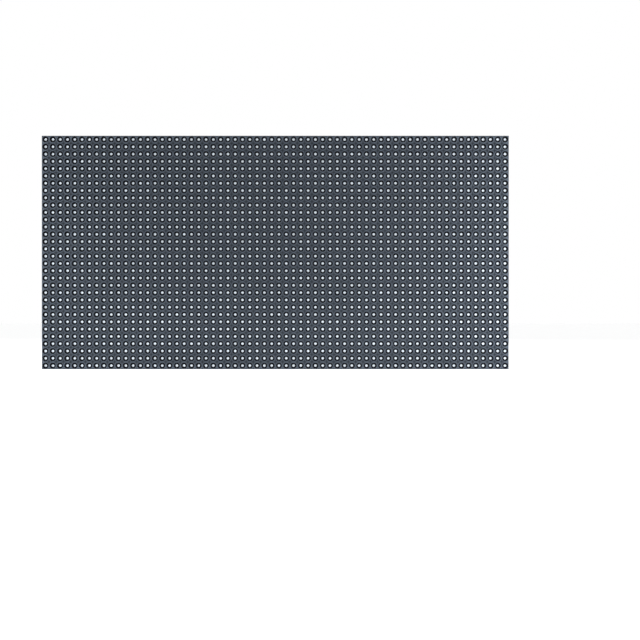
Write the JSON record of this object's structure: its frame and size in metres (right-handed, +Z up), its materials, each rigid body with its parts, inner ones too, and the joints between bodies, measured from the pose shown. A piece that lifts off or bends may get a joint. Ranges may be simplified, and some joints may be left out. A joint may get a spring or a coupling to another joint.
{
  "type": "rgb led matrix panel",
  "caption": "Flat rectangular LED matrix display panel: a grid of round lamp windows in front, a circuit board and a ribbed rear frame with threaded inserts.",
  "frame": {"origin": "middle of the panel's length and depth (pegs included), on its bottom edge", "axes": "+X to the right as seen from the front, +Y from the display face to the rear, +Z up"},
  "size_m": [0.256, 0.0176, 0.128],
  "materials": {
    "mask_plastic": "fine matt moulded",
    "lamp_resin": "white lamp cups with clear resin",
    "board_lacquer": "blue-black solder resist, satin",
    "bare_copper": "dull bare copper",
    "screw_steel": "zinc plated",
    "frame_plastic": "charcoal moulded, lightly textured",
    "insert_brass": "turned",
    "chip_epoxy": "moulded epoxy with tinned leads",
    "capacitor_ceramic": "ceramic with tinned ends",
    "can_aluminium": "drawn, bare",
    "header_plastic": "black moulded",
    "gilt_pins": "thin gilt",
    "tinned_brass": "tinned"
  },
  "bodies": {
    "root": {"board_screws": "screw_steel", "buffer_chip_1": "chip_epoxy", "buffer_chip_2": "chip_epoxy", "bypass_capacitors_1": "capacitor_ceramic", "bypass_capacitors_2": "capacitor_ceramic", "bypass_capacitors_3": "capacitor_ceramic", "bypass_capacitors_4": "capacitor_ceramic", "circuit_board": "board_lacquer", "copper_rings": "bare_copper", "driver_chip_1_1": "chip_epoxy", "driver_chip_1_2": "chip_epoxy", "driver_chip_1_3": "chip_epoxy", "driver_chip_1_4": "chip_epoxy", "driver_chip_1_5": "chip_epoxy", "driver_chip_1_6": "chip_epoxy", "driver_chip_2_1": "chip_epoxy", "driver_chip_2_2": "chip_epoxy", "driver_chip_2_3": "chip_epoxy", "driver_chip_2_4": "chip_epoxy", "driver_chip_2_5": "chip_epoxy", "driver_chip_2_6": "chip_epoxy", "driver_chip_3_1": "chip_epoxy", "driver_chip_3_2": "chip_epoxy", "driver_chip_3_3": "chip_epoxy", "driver_chip_3_4": "chip_epoxy", "driver_chip_3_5": "chip_epoxy", "driver_chip_3_6": "chip_epoxy", "driver_chip_4_1": "chip_epoxy", "driver_chip_4_2": "chip_epoxy", "driver_chip_4_3": "chip_epoxy", "driver_chip_4_4": "chip_epoxy", "driver_chip_4_5": "chip_epoxy", "driver_chip_4_6": "chip_epoxy", "front_mask": "mask_plastic", "input_header_pins": "gilt_pins", "input_header_shroud": "header_plastic", "lamp_rows": "lamp_resin", "lower_capacitor_base": "header_plastic", "lower_capacitor_can": "can_aluminium", "output_header_pins": "gilt_pins", "output_header_shroud": "header_plastic", "power_header_housing": "header_plastic", "power_header_pins": "tinned_brass", "rear_frame": "frame_plastic", "switch_chip_1": "chip_epoxy", "switch_chip_2": "chip_epoxy", "threaded_inserts": "insert_brass", "upper_capacitor_base": "header_plastic", "upper_capacitor_can": "can_aluminium"}
  },
  "joints": []
}
